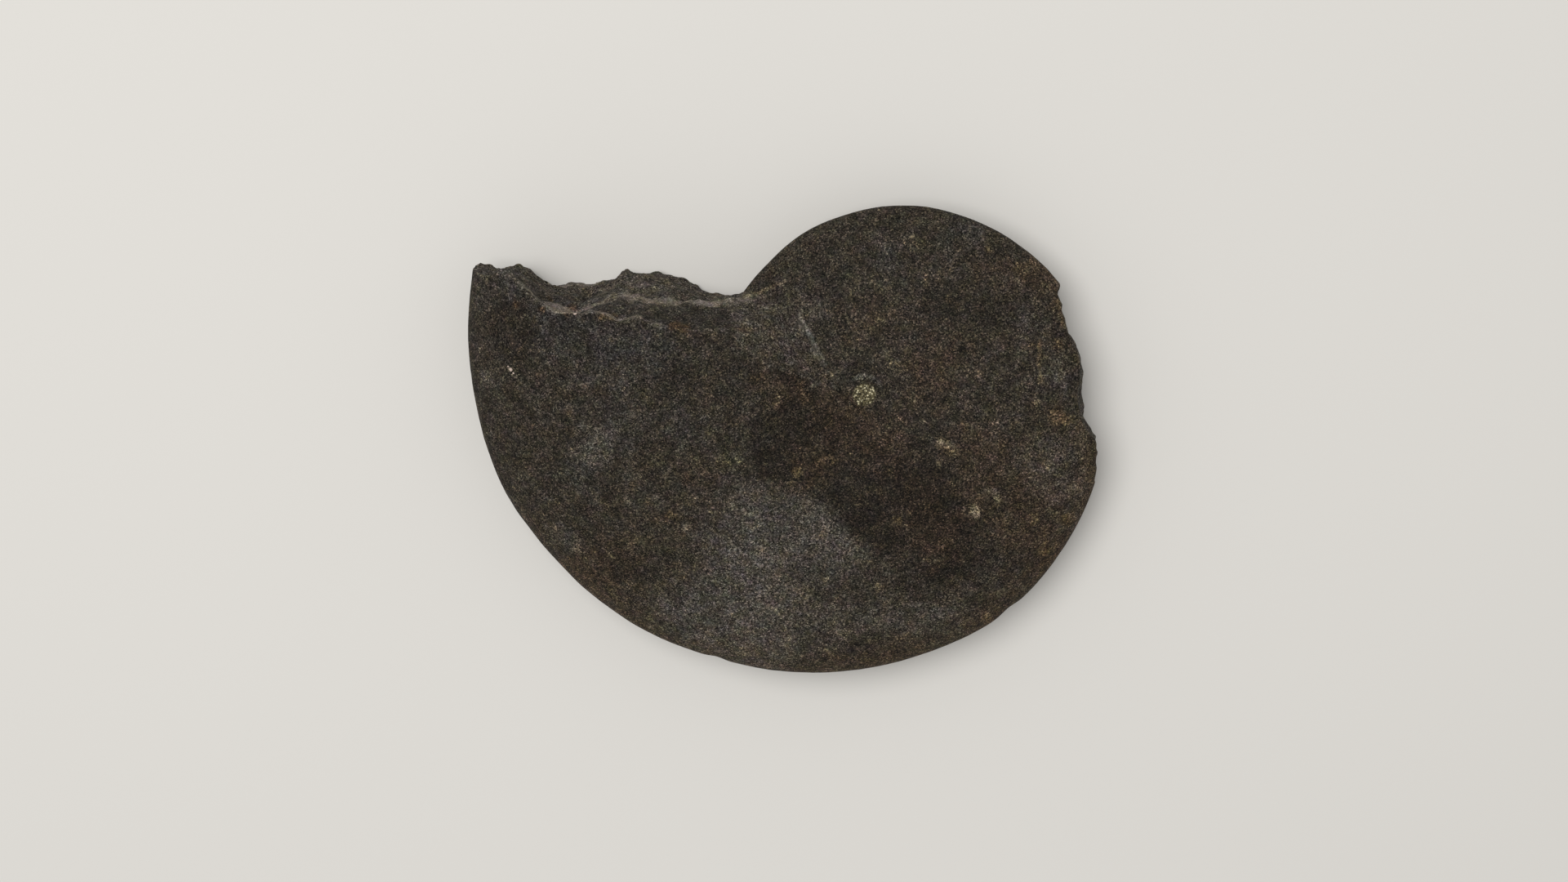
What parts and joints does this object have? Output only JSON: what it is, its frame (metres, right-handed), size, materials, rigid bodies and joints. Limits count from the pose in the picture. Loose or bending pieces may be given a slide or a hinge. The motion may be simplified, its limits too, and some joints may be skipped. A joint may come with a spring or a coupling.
{
  "type": "fossil ammonite",
  "caption": "Smooth, tightly coiled fossil ammonoid of dark speckled stone with a closed umbilicus, its last whorl broken across, lying on its flank.",
  "frame": {"origin": "where the coil's axis meets the worn flat that the fossil rests on, under the umbilicus", "axes": "+Z along the coil's axis, up from the resting flat; +Y towards the side that the broken end of the last whorl faces; +X along the long side, from the last whorl towards the worn rim of the older one"},
  "size_m": [0.11, 0.084, 0.0253],
  "materials": {
    "stone": "matt, finely speckled"
  },
  "bodies": {
    "root": {"ammonite": "stone"}
  },
  "joints": []
}
